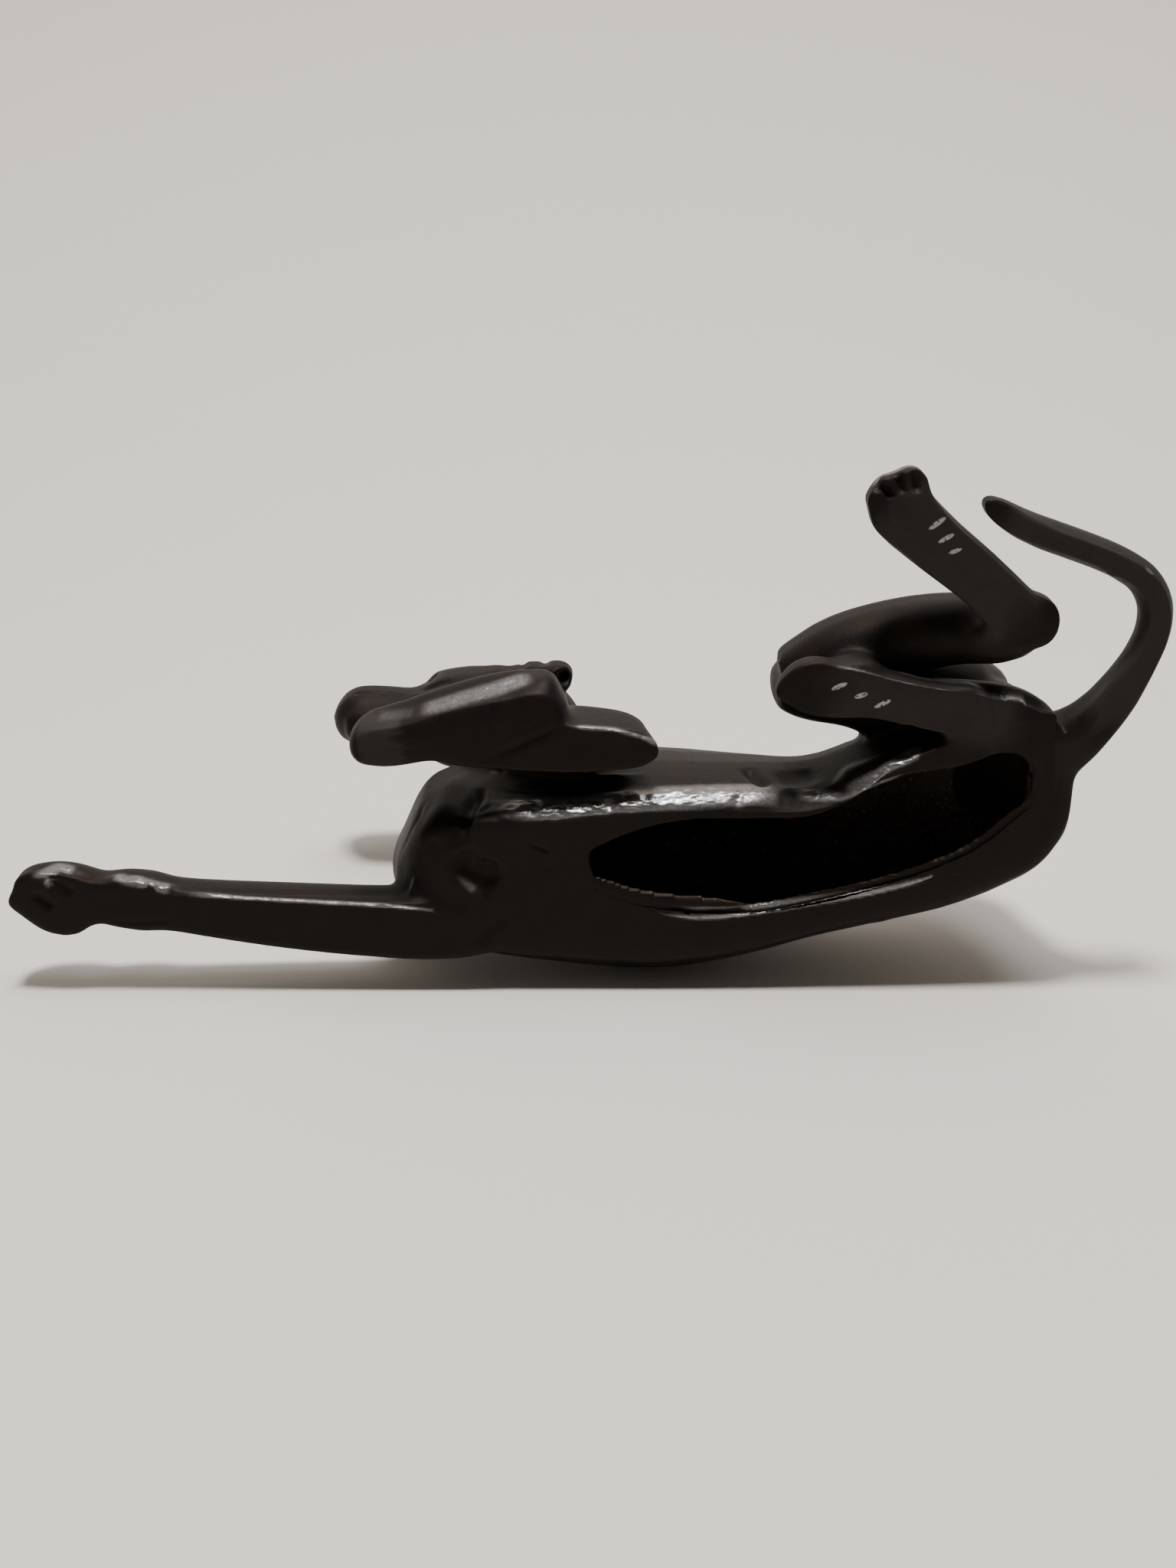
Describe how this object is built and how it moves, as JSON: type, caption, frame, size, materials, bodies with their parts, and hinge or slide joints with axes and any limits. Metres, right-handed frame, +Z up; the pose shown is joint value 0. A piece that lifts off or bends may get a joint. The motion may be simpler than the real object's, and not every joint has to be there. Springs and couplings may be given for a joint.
{
  "type": "reclining hound statue",
  "caption": "Reclining hound cast hollow in iron: head raised, one forepaw stretched forward, hind legs and curled tail to its left, flat open underside.",
  "frame": {"origin": "centre of the bounding box, on the ground plane that the flat underside rests on", "axes": "+Z up, the head towards -X, the dog's left side (hind legs and tail) towards -Y"},
  "size_m": [0.2499, 0.1179, 0.0931],
  "materials": {
    "black_iron": "worn glossy black paint over rough sand-cast iron"
  },
  "bodies": {
    "root": {"dog_casting": "black_iron"}
  },
  "joints": []
}
